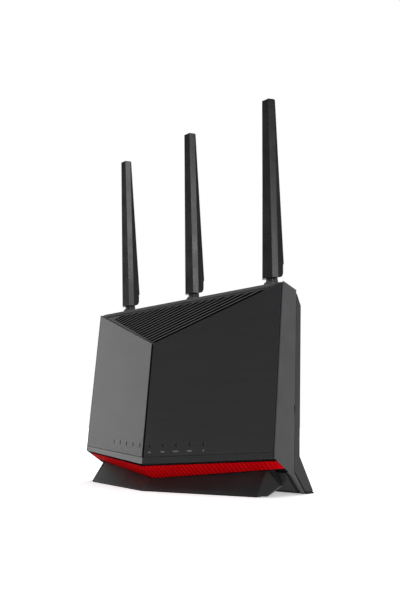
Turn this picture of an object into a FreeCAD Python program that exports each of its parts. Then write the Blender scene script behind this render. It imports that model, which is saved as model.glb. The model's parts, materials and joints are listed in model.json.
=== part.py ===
"""Desktop wireless router: ridge-front body on a splayed stand, three swivelling and folding antennas.

Millimetres. +X to the router's left-hand viewer side (right when facing its front), +Y to the back,
+Z up. The origin is on the table, in the middle of the footprint. The driving sizes are in the
spreadsheet "Dims"; every sub-part is one object, and its Label names the file in parts/.
"""
import FreeCAD, Part
import Sketcher
import math
import os

V = FreeCAD.Vector
os.makedirs("parts", exist_ok=True)
doc = FreeCAD.newDocument("Router")
sheet = doc.addObject("Spreadsheet::Sheet", "Dims")

# ------------------------------------------------------------------ driving dimensions
DIMS = [
    # front ridge (where the two front faces meet, on the middle plane)
    ("ridge_low_y", -41.8), ("ridge_low_z", 23.0), ("ridge_top_y", -29.4), ("ridge_top_z", 127.5),
    # lower outer corners of the front faces
    ("corner_x", 118.0), ("corner_y", -11.4), ("corner_z", 31.0),
    # crown: the top ends of the front faces
    ("crown_x", 115.0), ("crown_y", 4.4), ("crown_z", 170.0),
    # top slope behind the crown, and the rear shell's step below it
    ("slope_y", 22.9), ("slope_z", 165.4), ("rear_step", 2.8),
    ("rear_edge_y", 26.2), ("rear_edge_z", 156.8),
    # parting plane between the front and rear shells
    ("part_y", 14.5), ("part_z", 19.0), ("part_lean", 0.053), ("part_gap", 0.25),
    # back wall at the sides, and the raised middle of it
    ("back_y", 22.6), ("back_z", 31.4), ("back_lean", 0.0287), ("plateau_x", 104.0), ("plateau_out", 10.4),
    # accent band: its lower edge on the middle plane and at the sides
    ("band_mid_y", -28.8), ("band_mid_z", 10.2), ("band_end_y", 1.8), ("band_end_z", 22.4),
    ("band_thick", 2.6), ("band_top_z", 21.0), ("band_gap", 1.8), ("rib_pitch", 3.7), ("rib_groove", 1.3), ("rib_depth", 0.9),
    # walls
    ("panel_thick", 1.6), ("panel_gap", 1.25), ("rim_wide", 1.0), ("rim_gap", 0.5), ("wall", 2.2), ("side_wall", 2.4),
    ("groove_mid_z", 28.6), ("groove_rise", 6.9), ("groove_gap", 0.4),
    # indicator slots
    ("led_first", 6.3), ("led_step", 12.65), ("led_wide", 1.3), ("led_tall", 3.5), ("led_z", 38.5), ("led_rise", 0.052),
    # grille
    ("grille_pitch", 4.3), ("grille_slot", 3.1), ("grille_edge", 1.7), ("grille_back", 49.3), ("grille_left", 96.0),
    ("grille_thick", 3.0), ("grille_plate", 1.2), ("grille_sunk", 1.3), ("grille_top_t", 50.6),
    # stand
    ("foot_mid_y", -42.7), ("foot_end_x", 104.0), ("foot_end_y", -15.0), ("foot_top_mid_y", -15.5), ("foot_top_end_y", 0.1),
    ("foot_top_z", 20.0), ("pad_front", 0.8), ("pad_rear", 2.2), ("pad_wide", 8.0),
    ("leg_back_y", 42.7), ("leg_gap_y", 30.2), ("leg_strip_y", 27.3), ("leg_foot_x", 118.67),
    # circuit board and what is on it
    ("board_half", 96.0), ("board_low", 26.0), ("board_high", 132.0), ("board_y", 8.0), ("board_thick", 1.6),
    ("jack_low", 27.6), ("jack_tall", 13.4), ("jack_wide", 16.0), ("jack_face_y", 32.2),
    ("hole_wide", 11.9), ("hole_tall", 8.0), ("hole_deep", 13.0),
    ("usb_wide", 14.4), ("usb_tall", 7.0),
    # antennas
    ("ant_pitch", 90.0), ("ant_y", 23.0), ("boss_top", 168.0), ("boss_rad", 9.0),
    ("collar_rad", 6.75), ("collar_top", 175.3), ("neck_rad", 5.0), ("neck_top", 178.2), ("spigot_rad", 3.92),
    ("spigot_bore", 4.0), ("hinge_z", 184.0), ("pin_rad", 1.25), ("pin_bore", 1.32), ("tongue_half", 3.0), ("slot_half", 3.2),
    ("blade_low", 178.5), ("blade_high", 325.0), ("heel_rad", 5.0),
    # push buttons
    ("power_rad", 4.4), ("reset_rad", 1.4), ("side_btn_y", 21.2),
]
vals = {}
for i, (name, value) in enumerate(DIMS):
    cell = "A%d" % (i + 1)
    sheet.set("B%d" % (i + 1), name)
    sheet.set(cell, str(value))
    sheet.setAlias(cell, name)
    vals[name] = float(value)
doc.recompute()


class Q:
    """A size with both its number and the expression that ties it to the sheet."""

    def __init__(self, v, e):
        self.v, self.e = float(v), e

    @staticmethod
    def of(x):
        return x if isinstance(x, Q) else Q(x, repr(float(x)))

    def __add__(self, o):
        o = Q.of(o); return Q(self.v + o.v, "(%s + %s)" % (self.e, o.e))

    def __radd__(self, o):
        return Q.of(o) + self

    def __sub__(self, o):
        o = Q.of(o); return Q(self.v - o.v, "(%s - %s)" % (self.e, o.e))

    def __rsub__(self, o):
        return Q.of(o) - self

    def __mul__(self, o):
        o = Q.of(o); return Q(self.v * o.v, "(%s * %s)" % (self.e, o.e))

    def __rmul__(self, o):
        return Q.of(o) * self

    def __truediv__(self, o):
        o = Q.of(o); return Q(self.v / o.v, "(%s / %s)" % (self.e, o.e))

    def __neg__(self):
        return Q(-self.v, "(-1 * %s)" % self.e)


def S(name):
    return Q(vals[name], "Dims." + name)


def num(x):
    return x.v if isinstance(x, Q) else float(x)


def bind(obj, prop, q):
    if isinstance(q, Q) and "Dims." in q.e:
        obj.setExpression(prop, q.e)


PARTS = {}


def keep(obj, label):
    obj.Label = label
    PARTS[label] = obj
    return obj


_n = [0]


def uid(base):
    _n[0] += 1
    return "%s_%03d" % (base, _n[0])


# ------------------------------------------------------------------ primitives bound to the sheet
def box(x0, x1, y0, y1, z0, z1, name="Block"):
    b = doc.addObject("Part::Box", uid(name))
    lo = [Q.of(a) for a in (x0, y0, z0)]
    hi = [Q.of(a) for a in (x1, y1, z1)]
    for prop, a, c in zip(("Length", "Width", "Height"), lo, hi):
        d = c - a
        setattr(b, prop, d.v)
        bind(b, prop, d)
    b.Placement = FreeCAD.Placement(V(*[a.v for a in lo]), FreeCAD.Rotation())
    for ax, a in zip("xyz", lo):
        bind(b, ".Placement.Base." + ax, a)
    return b


AXES = {"z": FreeCAD.Rotation(), "y": FreeCAD.Rotation(V(1, 0, 0), -90), "x": FreeCAD.Rotation(V(0, 1, 0), 90)}


def cyl(r, base, length, axis="z", name="Round"):
    c = doc.addObject("Part::Cylinder", uid(name))
    r, length = Q.of(r), Q.of(length)
    c.Radius, c.Height = r.v, length.v
    bind(c, "Radius", r)
    bind(c, "Height", length)
    base = [Q.of(a) for a in base]
    c.Placement = FreeCAD.Placement(V(*[a.v for a in base]), AXES[axis])
    for ax, a in zip("xyz", base):
        bind(c, ".Placement.Base." + ax, a)
    return c


def fuse(objs, name="Joined"):
    f = doc.addObject("Part::MultiFuse", uid(name))
    f.Shapes = list(objs)
    return f


def group(objs, name="Group"):
    f = doc.addObject("Part::Compound", uid(name))
    f.Links = list(objs)
    return f


def cut(base, tools, name="Cut"):
    """Cuts the tools out one after another, so overlapping tools do no harm."""
    for tool in (tools if isinstance(tools, (list, tuple)) else [tools]):
        c = doc.addObject("Part::Cut", uid(name))
        c.Base = base
        c.Tool = tool
        base = c
    return base


def common(a, b, name="Shared"):
    c = doc.addObject("Part::MultiCommon", uid(name))
    c.Shapes = [a, b]
    return c


def feature(shape, name="Solid"):
    f = doc.addObject("Part::Feature", uid(name))
    f.Shape = shape
    return f


# ------------------------------------------------------------------ PartDesign helpers
def origin_plane(body, role):
    for f in body.Origin.OriginFeatures:
        if f.Role == role:
            return f


def fix_point(sk, geo, pos, x, y):
    """Ties one sketch point to the origin by its two coordinates."""
    for kind, q, axis in (("DistanceX", Q.of(x), -2), ("DistanceY", Q.of(y), -1)):
        if abs(q.v) < 1e-9:
            sk.addConstraint(Sketcher.Constraint("PointOnObject", geo, pos, axis))
            continue
        if q.v > 0:
            i = sk.addConstraint(Sketcher.Constraint(kind, -1, 1, geo, pos, q.v))
        else:
            q = -q
            i = sk.addConstraint(Sketcher.Constraint(kind, geo, pos, -1, 1, q.v))
        if "Dims." in q.e:
            sk.setExpression("Constraints[%d]" % i, q.e)


def draw(sk, loops):
    """Each loop is a closed polygon [(x, y), ...] or a circle ("o", x, y, r)."""
    for loop in loops:
        if loop[0] == "o":
            _, x, y, r = loop
            g = sk.addGeometry(Part.Circle(V(num(x), num(y), 0), V(0, 0, 1), num(r)), False)
            i = sk.addConstraint(Sketcher.Constraint("Radius", g, num(r)))
            if isinstance(r, Q):
                sk.setExpression("Constraints[%d]" % i, r.e)
            fix_point(sk, g, 3, x, y)
            continue
        first = sk.GeometryCount
        n = len(loop)
        pts = [V(num(x), num(y), 0) for x, y in loop]
        for k in range(n):
            sk.addGeometry(Part.LineSegment(pts[k], pts[(k + 1) % n]), False)
        for k in range(n):
            sk.addConstraint(Sketcher.Constraint("Coincident", first + k, 2, first + (k + 1) % n, 1))
        for k in range(n):
            fix_point(sk, first + k, 1, *loop[k])


def new_body(name):
    return doc.addObject("PartDesign::Body", uid(name))


def sketch_on(body, plane, level, loops, name="Sketch"):
    """level is where the sketch plane lies along that plane's own global axis."""
    sk = body.newObject("Sketcher::SketchObject", uid(name))
    sk.AttachmentSupport = [(origin_plane(body, plane + "_Plane"), "")]
    sk.MapMode = "FlatFace"
    level = Q.of(level)
    off = -level if plane == "XZ" else level
    sk.AttachmentOffset = FreeCAD.Placement(V(0, 0, off.v), FreeCAD.Rotation())
    bind(sk, ".AttachmentOffset.Base.z", off)
    draw(sk, loops)
    return sk


def rect(x0, x1, y0, y1):
    return [(x0, y0), (x1, y0), (x1, y1), (x0, y1)]


def prism(plane, loops, lo, hi, name="Prism", body=None, placement=None):
    """A padded sketch between two levels along the plane's normal axis."""
    body = body or new_body(name)
    lo, hi = Q.of(lo), Q.of(hi)
    sk = sketch_on(body, plane, hi if plane == "XZ" else lo, loops)
    pad = body.newObject("PartDesign::Pad", uid("Pad"))
    pad.Profile = sk
    span = hi - lo
    pad.Length = span.v
    bind(pad, "Length", span)
    body.Tip = pad
    if placement is not None:
        body.Placement = placement
    return body


def pocket(body, plane, loops, lo, hi):
    """Cuts a sketch out of a body between two levels along the plane's normal axis."""
    lo, hi = Q.of(lo), Q.of(hi)
    # a pocket runs against the sketch's normal, so the sketch sits at the far level
    sk = sketch_on(body, plane, lo if plane == "XZ" else hi, loops)
    p = body.newObject("PartDesign::Pocket", uid("Pocket"))
    p.Profile = sk
    span = hi - lo
    p.Length = span.v
    bind(p, "Length", span)
    body.Tip = p
    return p


def revolve(loops, centre, name="Turned", axis="z"):
    """A profile drawn in XZ (x is the radius) turned about its own Z axis, then placed."""
    body = new_body(name)
    sk = sketch_on(body, "XZ", 0, loops)
    r = body.newObject("PartDesign::Revolution", uid("Revolution"))
    r.Profile = sk
    r.ReferenceAxis = (sk, ["V_Axis"])
    r.Angle = 360
    body.Tip = r
    body.Placement = FreeCAD.Placement(V(*[num(c) for c in centre]), AXES[axis])
    for ax, a in zip("xyz", centre):
        bind(body, ".Placement.Base." + ax, Q.of(a))
    return body


# ------------------------------------------------------------------ facetted solids from planes
class Half:
    """A half-space n.p <= d, n unit and pointing out of the solid."""

    def __init__(self, n, d):
        self.n, self.d = n, d

    def off(self, inward):
        return Half(self.n, self.d - inward)

    def flip(self):
        return Half(self.n * -1, -self.d)

    def mirror(self):
        return Half(V(-self.n.x, self.n.y, self.n.z), self.d)


def plane3(a, b, c, inside):
    n = (b - a).cross(c - a)
    n.normalize()
    d = n.dot(a)
    if n.dot(inside) > d:
        n, d = n * -1, -d
    return Half(n, d)


def hull(halves):
    """The convex solid inside all the half-spaces, from its corner points."""
    m = len(halves)
    corners = [[] for _ in halves]
    for i in range(m):
        for j in range(i + 1, m):
            for k in range(j + 1, m):
                a, b, c = halves[i], halves[j], halves[k]
                det = a.n.dot(b.n.cross(c.n))
                if abs(det) < 1e-7:
                    continue
                p = (b.n.cross(c.n) * a.d + c.n.cross(a.n) * b.d + a.n.cross(b.n) * c.d) * (1.0 / det)
                if all(h.n.dot(p) <= h.d + 1e-6 for h in halves):
                    for q in (i, j, k):
                        if all((p - o).Length > 1e-5 for o in corners[q]):
                            corners[q].append(p)
    faces = []
    for h, pts in zip(halves, corners):
        if len(pts) < 3:
            continue
        mid = V(0, 0, 0)
        for p in pts:
            mid = mid + p
        mid = mid * (1.0 / len(pts))
        u = (pts[0] - mid)
        u.normalize()
        w = h.n.cross(u)
        pts.sort(key=lambda p: math.atan2((p - mid).dot(w), (p - mid).dot(u)))
        faces.append(Part.Face(Part.makePolygon(pts + [pts[0]])))
    solid = Part.makeSolid(Part.makeShell(faces))
    if solid.Volume < 0:
        solid.reverse()
    return solid


g = vals
INSIDE = V(0, 0, 90)
RIDGE_LOW = V(0, g["ridge_low_y"], g["ridge_low_z"])
RIDGE_TOP = V(0, g["ridge_top_y"], g["ridge_top_z"])
CORNER = V(g["corner_x"], g["corner_y"], g["corner_z"])
CROWN = V(g["crown_x"], g["crown_y"], g["crown_z"])
CROWN_L = V(-g["crown_x"], g["crown_y"], g["crown_z"])
FRONT_R = plane3(RIDGE_LOW, RIDGE_TOP, CORNER, INSIDE)
FRONT_L = FRONT_R.mirror()
TOP_F = plane3(RIDGE_TOP, CROWN, CROWN_L, V(0, 10, 100))
TOP_B = plane3(CROWN, CROWN_L, V(0, g["slope_y"], g["slope_z"]), INSIDE)
SIDE_R = plane3(CORNER, CROWN, CORNER + V(0, 10, 0), INSIDE)
SIDE_L = SIDE_R.mirror()
_lean = g["part_lean"]
_n1 = V(0, 1, -_lean)
_n1.normalize()
PARTING = Half(_n1, _n1.dot(V(0, g["part_y"], g["part_z"])))  # outward is to the back
BAND_MID = V(0, g["band_mid_y"], g["band_mid_z"])
BAND_END = V(g["corner_x"], g["band_end_y"], g["band_end_z"])
BAND_R = plane3(BAND_MID, BAND_END, V(0, g["ridge_low_y"], g["band_top_z"]), V(0, 10, 60))
BAND_L = BAND_R.mirror()
UNDER_R = plane3(BAND_MID, BAND_END, BAND_MID + V(0, 10, 0), INSIDE)
UNDER_L = UNDER_R.mirror()
_n2 = V(0, 1, -g["back_lean"])
_n2.normalize()
BACK_SIDE = Half(_n2, _n2.dot(V(0, g["back_y"], g["back_z"])))
PLATEAU = Half(_n2, _n2.dot(V(0, g["back_y"] + g["plateau_out"], g["back_z"])))


def back_y(z, out=0.0):
    return g["back_y"] + out + g["back_lean"] * (z - g["back_z"])


def side_x(z):
    return g["corner_x"] - (g["corner_x"] - g["crown_x"]) * (z - g["corner_z"]) / (g["crown_z"] - g["corner_z"])


def front_y(x, z, inset=0.0):
    n, d = FRONT_R.n, FRONT_R.d - inset
    return (d - n.x * abs(x) - n.z * z) / n.y


CHAM_R = plane3(V(g["plateau_x"], back_y(31.4, g["plateau_out"]), 31.4), V(g["plateau_x"], back_y(150, g["plateau_out"]), 150),
                V(side_x(31.4), back_y(31.4), 31.4), INSIDE)
CHAM_L = CHAM_R.mirror()
REAR_TOP = TOP_B.off(g["rear_step"])
RTOP_R = plane3(V(side_x(162.6), 22.8, 162.6), V(side_x(156.8), g["rear_edge_y"], g["rear_edge_z"]),
                V(98.0, 34.4, 159.4), INSIDE)
RTOP_L = RTOP_R.mirror()
MIDDLE = Half(V(-1, 0, 0), 0.0)  # keeps x >= 0

pt, w = g["panel_thick"], g["wall"]
FAR_BACK = Half(V(0, 1, 0), 80.0)


def mirrored(shape):
    return shape.mirror(V(0, 0, 0), V(1, 0, 0))


def both(shape):
    """The right half's solid joined to its mirror image across the middle plane."""
    s = shape.fuse(mirrored(shape)).removeSplitter()
    return s.Solids[0] if len(s.Solids) == 1 else s


# ------------------------------------------------------------------ front panels, trim, ridge strip
EDGE_DIR = CROWN - RIDGE_TOP
EDGE_DIR.normalize()
_pn = EDGE_DIR.cross(FRONT_R.n)
_pn.normalize()
if _pn.z < 0:
    _pn = _pn * -1
PANEL_TOP = Half(_pn, _pn.dot(RIDGE_TOP) - 0.3)
_groove_dir = V(g["corner_x"], front_y(g["corner_x"], g["groove_mid_z"] + g["groove_rise"]) - front_y(0, g["groove_mid_z"]), g["groove_rise"])
_gn = _groove_dir.cross(FRONT_R.n)
_gn.normalize()
if _gn.z < 0:
    _gn = _gn * -1
GROOVE = Half(_gn, _gn.dot(V(0, front_y(0, g["groove_mid_z"]), g["groove_mid_z"])))  # keeps what is below the groove
LOW_DIR = CORNER - RIDGE_LOW
_ln = LOW_DIR.cross(FRONT_R.n)
_ln.normalize()
if _ln.z > 0:
    _ln = _ln * -1
LOWER = Half(_ln, _ln.dot(RIDGE_LOW))

panel_solid = hull([FRONT_R, FRONT_R.off(pt).flip(), Half(V(-1, 0, 0), -g["panel_gap"]), SIDE_R.off(g["rim_wide"] + g["rim_gap"]),
                    PANEL_TOP, GROOVE.off(-g["groove_gap"]).flip()])
trim_half = hull([FRONT_R, FRONT_R.off(pt).flip(), MIDDLE, SIDE_R.off(g["rim_wide"] + g["rim_gap"]), GROOVE, LOWER])

led_x = [S("led_first") + k * S("led_step") for k in range(5)]


def led_z(k):
    return S("led_z") + S("led_rise") * led_x[k]


def led_loops(sign, grow=0.0):
    out = []
    for k in range(5):
        x = led_x[k] * sign
        hw, hh = S("led_wide") / 2 + grow, S("led_tall") / 2 + grow
        z = led_z(k)
        out.append(rect(x - hw, x + hw, z - hh, z + hh))
    return out


panel_r = feature(panel_solid, "PanelRight")
panel_l = feature(mirrored(panel_solid), "PanelLeft")
keep(cut(panel_r, prism("XZ", led_loops(1), -60, 0)), "front_panel_right")
keep(cut(panel_l, prism("XZ", led_loops(-1), -60, 0)), "front_panel_left")
keep(feature(both(trim_half), "Trim"), "lower_trim_strip")
strip = hull([FRONT_R.off(1.0), FRONT_R.off(pt).flip(), Half(V(1, 0, 0), g["panel_gap"] - 0.06), MIDDLE,
              GROOVE.off(-g["groove_gap"]).flip(), PANEL_TOP.off(0.9)])
keep(feature(both(strip), "RidgeStrip"), "ridge_strip")

# ------------------------------------------------------------------ front shell
inset = pt + 0.1
h1 = hull([FRONT_R.off(inset), FRONT_L.off(inset), TOP_F, TOP_B, SIDE_R.off(1.2), SIDE_L.off(1.2), PARTING.off(g["part_gap"]),
           BAND_R.off(g["band_thick"] + 0.1), BAND_L.off(g["band_thick"] + 0.1), UNDER_R, UNDER_L])
h2 = hull([FRONT_R.off(inset + w), FRONT_L.off(inset + w), TOP_F.off(w + 1.6), TOP_B.off(w), SIDE_R.off(g["side_wall"]), SIDE_L.off(g["side_wall"]),
           FAR_BACK, BAND_R.off(g["band_thick"] + 2.1), BAND_L.off(g["band_thick"] + 2.1), UNDER_R.off(2.0), UNDER_L.off(2.0)])
frame_core = cut(feature(h1, "FrontHull"), feature(h2, "FrontRoom"))

# side walls: the upper part follows the shell's own planes, the thin front leg is a padded outline
pz, py_ = S("part_z"), S("part_y") - S("part_gap")
EDGE = plane3(CORNER, CROWN, CORNER + V(10, 0, 0), INSIDE)
LEG_TOP = V(0, 11.4, 16.6)
LEG_BACK = V(0, g["part_y"] - g["part_gap"], g["part_z"])
DIAGONAL = plane3(CORNER, V(g["corner_x"], 11.4, 16.6), CORNER + V(10, 0, 0), INSIDE)
LEG_JOIN = plane3(LEG_TOP, LEG_BACK, LEG_TOP + V(10, 0, 0), INSIDE)
side_up = hull([SIDE_R, SIDE_R.off(g["side_wall"]).flip(), TOP_B, PARTING.off(g["part_gap"]), EDGE, DIAGONAL, LEG_JOIN])
slab_r = hull([SIDE_R, SIDE_R.off(g["side_wall"]).flip(), Half(V(0, 1, 0), 70), Half(V(0, -1, 0), 70), Half(V(0, 0, 1), 200), Half(V(0, 0, -1), 5)])
leg_outline = [(11.4, 16.6), (S("leg_strip_y"), 0.5), (S("leg_gap_y") - 1.0, 0.5), (py_, pz), (10.4, 20.4)]
leg_right = common(prism("YZ", [leg_outline], 100, 125, "LegRight"), feature(slab_r, "LegSlabRight"))
leg_left = common(prism("YZ", [leg_outline], -125, -100, "LegLeft"), feature(mirrored(slab_r), "LegSlabLeft"))
side_right = feature(side_up, "SideRight")
side_left = feature(mirrored(side_up), "SideLeft")

# grille opening and its sunk seat, drawn in the sloping crown plane
TILT = math.degrees(math.atan2(CROWN.z - RIDGE_TOP.z, CROWN.y - RIDGE_TOP.y))
SLOPE_LEN = math.hypot(CROWN.z - RIDGE_TOP.z, CROWN.y - RIDGE_TOP.y)
CROWN_FRAME = FreeCAD.Placement(RIDGE_TOP, FreeCAD.Rotation(V(1, 0, 0), TILT))
RISE = SLOPE_LEN / g["crown_x"]
SEC = math.sqrt(1 + RISE * RISE)


def tri(edge, back):
    """Triangle in the crown plane, set in by edge from both front edges and ending at back."""
    a = edge * SEC
    x = (back - a) / RISE
    return [(0, a), (x, back), (-x, back)]


field_r = g["grille_edge"] * SEC
lslope = (g["grille_back"] - 1.5) / g["grille_left"]


def field_line(d):
    """Ends of the line at distance d from the right edge of the louvre field."""
    a = field_r + d * SEC
    xl = (1.5 - a) / (RISE + lslope)
    xb = (g["grille_back"] - a) / RISE
    return (xl, a + RISE * xl), (xb, g["grille_back"])


fa, fb = field_line(0)
field = [fa, fb, (-g["grille_left"], g["grille_back"])]
seat = prism("XY", [tri(0.85, g["grille_top_t"] + 0.2)], -2.65, 3, "GrilleSeat", placement=CROWN_FRAME)
hole = prism("XY", [tri(3.2, g["grille_back"] + 0.3)], -12, 3, "GrilleHole", placement=CROWN_FRAME)
# screw posts that meet the rear shell's posts
post_xz = [(60.0, 147.0), (-60.0, 147.0), (25.0, 17.2), (-25.0, 17.2)]
posts = []
for x, z in post_xz:
    y0 = front_y(x, z, inset + 1.0) if z > 100 else -12.0
    if z > 100:
        y0 = max(y0, -8.0)
    posts.append(cyl(3.0, (x, y0, z), 12.0 - y0, "y", "FrontPost"))
post_holes = [cyl(1.25, (x, -2.0, z), 20.0, "y", "PostHole") for x, z in post_xz]
# small pry notch half way down the right-hand parting line
notch = box(116.2, 125, 16.1, 22.0, 64.5, 72.5, "Notch")
notch_l = box(-125, -116.2, 16.1, 22.0, 64.5, 72.5, "NotchL")
led_hole_r = prism("XZ", led_loops(1, 0.15) + led_loops(-1, 0.15), -60, 4, "GuideHoles")
front_raw = fuse([frame_core, side_right, side_left, leg_right, leg_left] + posts)
boss_notch = group([cyl(S("boss_rad") + 0.2, (i * S("ant_pitch"), S("ant_y"), 148.0), 24.0, "z", "BossNotch") for i in (-1, 0, 1)])
panel_seat = hull([FRONT_R.off(-2.0), FRONT_R.off(pt + 0.1).flip(), SIDE_R.off(g["rim_wide"]), MIDDLE, PANEL_TOP.off(-4.0), LOWER.off(-0.1)])
panel_seats = [feature(panel_seat, "PanelSeatRight"), feature(mirrored(panel_seat), "PanelSeatLeft")]
band_seat = hull([BAND_R.off(-6.0), BAND_R.off(g["band_thick"] + 0.1).flip(), SIDE_R.off(0.4), Half(V(-1, 0, 0), -100.0), LOWER.flip().off(-0.4), UNDER_R.off(-3.0)])
band_seats = [feature(band_seat, "BandSeatRight"), feature(mirrored(band_seat), "BandSeatLeft")]
shade = hull([BAND_R.off(-6.0), BAND_R.off(g["band_thick"] + 1.5).flip(), SIDE_R.off(2.0), MIDDLE, LOWER.flip().off(0.0), LOWER.off(-g["band_gap"])])
shades = [feature(shade, "ShadeRight"), feature(mirrored(shade), "ShadeLeft")]
keep(cut(front_raw, panel_seats + band_seats + shades + [seat, hole, led_hole_r, group(post_holes), boss_notch, notch, notch_l]), "front_shell")

# ------------------------------------------------------------------ top grille: sunk plate with slanting louvres
plate_tri = tri(1.0, g["grille_top_t"])
gb = prism("XY", [plate_tri], -(S("grille_sunk") + S("grille_plate")), -S("grille_sunk"), "GrillePlate", placement=CROWN_FRAME)
fins = prism("XY", [tri(3.6, g["grille_back"])], -(S("grille_sunk") + S("grille_thick")), -(S("grille_sunk") + 0.1), "GrilleFins", placement=CROWN_FRAME)
slots = []
k = 0
while True:
    d0 = g["grille_pitch"] * k
    (x0, t0), (x1, t1) = field_line(d0)
    (x2, t2), (x3, t3) = field_line(d0 + g["grille_slot"])
    if x3 - x2 < 6.0:
        break
    slots.append([(x0, t0), (x1, t1), (x3, t3), (x2, t2)])
    k += 1
slot_body = prism("XY", slots, -8, 2, "GrilleSlots", placement=CROWN_FRAME)
keep(cut(fuse([gb, fins]), slot_body), "top_grille")

# ------------------------------------------------------------------ accent band with its ribs
band_half = hull([MIDDLE, BAND_R, BAND_R.off(g["band_thick"]).flip(), FRONT_R.off(0.15), LOWER.flip().off(g["band_gap"]), UNDER_R.off(0.05), SIDE_R.off(0.5)])
band = feature(both(band_half), "Band")
grooves = []
bd = (V(0, g["ridge_low_y"], g["band_top_z"]) - BAND_MID)
bang = math.degrees(math.atan2(bd.z, -bd.y))
ribs = int((g["corner_x"] - 3.0) / g["rib_pitch"])
for sgn in (1, -1):
    for i in range(ribs):
        x = sgn * (g["rib_pitch"] * (i + 0.5))
        y_at = g["band_mid_y"] + (g["band_end_y"] - g["band_mid_y"]) * abs(x) / g["corner_x"]
        z_at = g["band_mid_z"] + (g["band_end_z"] - g["band_mid_z"]) * abs(x) / g["corner_x"]
        b = Part.makeBox(g["rib_groove"], 60, 4.0, V(-g["rib_groove"] / 2, -45, -4.0 + g["rib_depth"]))
        # local y runs back and down along the band, local z points into the body
        b.Placement = FreeCAD.Placement(V(x, y_at, z_at), FreeCAD.Rotation(V(1, 0, 0), -bang))
        grooves.append(b)
groove_tool = feature(Part.makeCompound(grooves), "RibGrooves")
keep(cut(band, groove_tool), "accent_band")

# ------------------------------------------------------------------ stand and feet
pf = S("pad_front")
k0 = Q.of(0.0)
stand = new_body("Stand")
zs = S("foot_top_z") + 4.0
k1 = zs / S("foot_top_z")


def foot_loop(kk, rear):
    my = S("foot_mid_y") + (S("foot_top_mid_y") - S("foot_mid_y")) * kk
    ey = S("foot_end_y") + (S("foot_top_end_y") - S("foot_end_y")) * kk
    ex = S("foot_end_x")
    return [(0, my), (ex, ey), (ex, rear), (-ex, rear), (-ex, ey)]


s0 = sketch_on(stand, "XY", pf, [foot_loop(k0, 34.0)])
s1 = sketch_on(stand, "XY", zs, [foot_loop(k1, 34.0)])
loft = stand.newObject("PartDesign::AdditiveLoft", uid("Loft"))
loft.Profile = s0
loft.Sections = [s1]
loft.Ruled = True
stand.Tip = loft
# what the stand is trimmed to: below the body, in front of the rear skirt, arched between foot and skirt
above = hull([UNDER_R.off(-0.3), UNDER_L.off(-0.3), Half(V(0, 0, 1), 60), Half(V(1, 0, 0), 140), Half(V(-1, 0, 0), 140), Half(V(0, 1, 0), 90), Half(V(0, -1, 0), 90)])
SKIRT_DIR = V(0, g["leg_gap_y"] - g["part_y"], 0.5 - g["part_z"])
_sn = V(0, -SKIRT_DIR.z, SKIRT_DIR.y)
_sn.normalize()  # points to the back
SKIRT_FRONT = Half(_sn, _sn.dot(V(0, g["part_y"], g["part_z"])) - 3.6)
behind = hull([SKIRT_FRONT.flip().off(-0.4), Half(V(0, 0, 1), 60), Half(V(0, 0, -1), 5), Half(V(1, 0, 0), 140), Half(V(-1, 0, 0), 140), Half(V(0, 1, 0), 90)])
arch = prism("YZ", [[(-7.0, -3.0), (-7.0, 1.0), (6.8, 3.4), (27.0, 10.4), (40.0, 15.0), (40.0, -3.0)]], -130, 130, "Arch")
stand_out = cut(stand, [feature(above, "AboveStand"), feature(behind, "BehindStand"), arch])
room0 = [(0, -33.0), (101.6, -9.6), (101.6, 10.5), (-101.6, 10.5), (-101.6, -9.6)]
room_a = prism("YZ", [[(-36.0, 3.2), (-6.0, 3.2), (6.2, 5.6), (17.0, 9.4), (13.0, 14.5), (8.4, 30.0), (-20.0, 30.0)]], -101.6, 101.6, "StandRoomSide")
room_b = new_body("StandRoom")
r0 = sketch_on(room_b, "XY", 3.2, [[(0, -35.5), (101.6, -10.0), (101.6, 30.0), (-101.6, 30.0), (-101.6, -10.0)]])
r1 = sketch_on(room_b, "XY", 24.0, [[(0, -7.0), (101.6, 5.6), (101.6, 30.0), (-101.6, 30.0), (-101.6, 5.6)]])
rl = room_b.newObject("PartDesign::AdditiveLoft", uid("Loft"))
rl.Profile = r0
rl.Sections = [r1]
rl.Ruled = True
room_b.Tip = rl
stand_room = common(room_a, room_b)
WEB = plane3(V(g["foot_end_x"], g["foot_end_y"], 0), V(g["foot_end_x"], 0.0, 20.0), V(118.4, 6.6, 13.0), V(100, 10, 5))
_wa, _wb = V(108.5, -11.7, 0), V(118.4, 6.6, 13.0)
WEB_LOW = plane3(_wa, _wb, _wa + WEB.n, V(104, 0, 18))
WEB_TOP = plane3(V(104.5, 0, 19.0), V(113.0, 0, 10.4), V(104.5, 10, 19.0), V(100, 10, 5))
web = hull([WEB, WEB.off(2.4).flip(), WEB_LOW, Half(V(0, 0, -1), -g["pad_front"]), Half(V(1, 0, 0), 115.9), Half(V(-1, 0, 0), -102.4), UNDER_R.flip().off(0.3), WEB_TOP])
webs = [feature(web, "WebRight"), feature(mirrored(web), "WebLeft")]
vents = []
for i in range(15):
    x = -84.0 + 12.0 * i
    vents.append(rect(x - 1.4, x + 1.4, -2.0, 12.0))
vent_cut = prism("XY", vents, -2, 14, "StandVents")
keep(cut(fuse([stand_out] + webs), [stand_room, vent_cut]), "base_stand")

fy = lambda x, d: S("foot_mid_y") + (S("foot_end_y") - S("foot_mid_y")) * (abs(x) / g["foot_end_x"]) + d
keep(prism("XY", [[(0, fy(0, 0.5)), (102.8, fy(102.8, 0.5)), (102.8, fy(102.8, 6.6)), (0, fy(0, 0.5) + S("pad_wide")), (-102.8, fy(102.8, 6.6)), (-102.8, fy(102.8, 0.5))]],
           0, pf - 0.02, "FrontPad"), "front_foot_pad")

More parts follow.
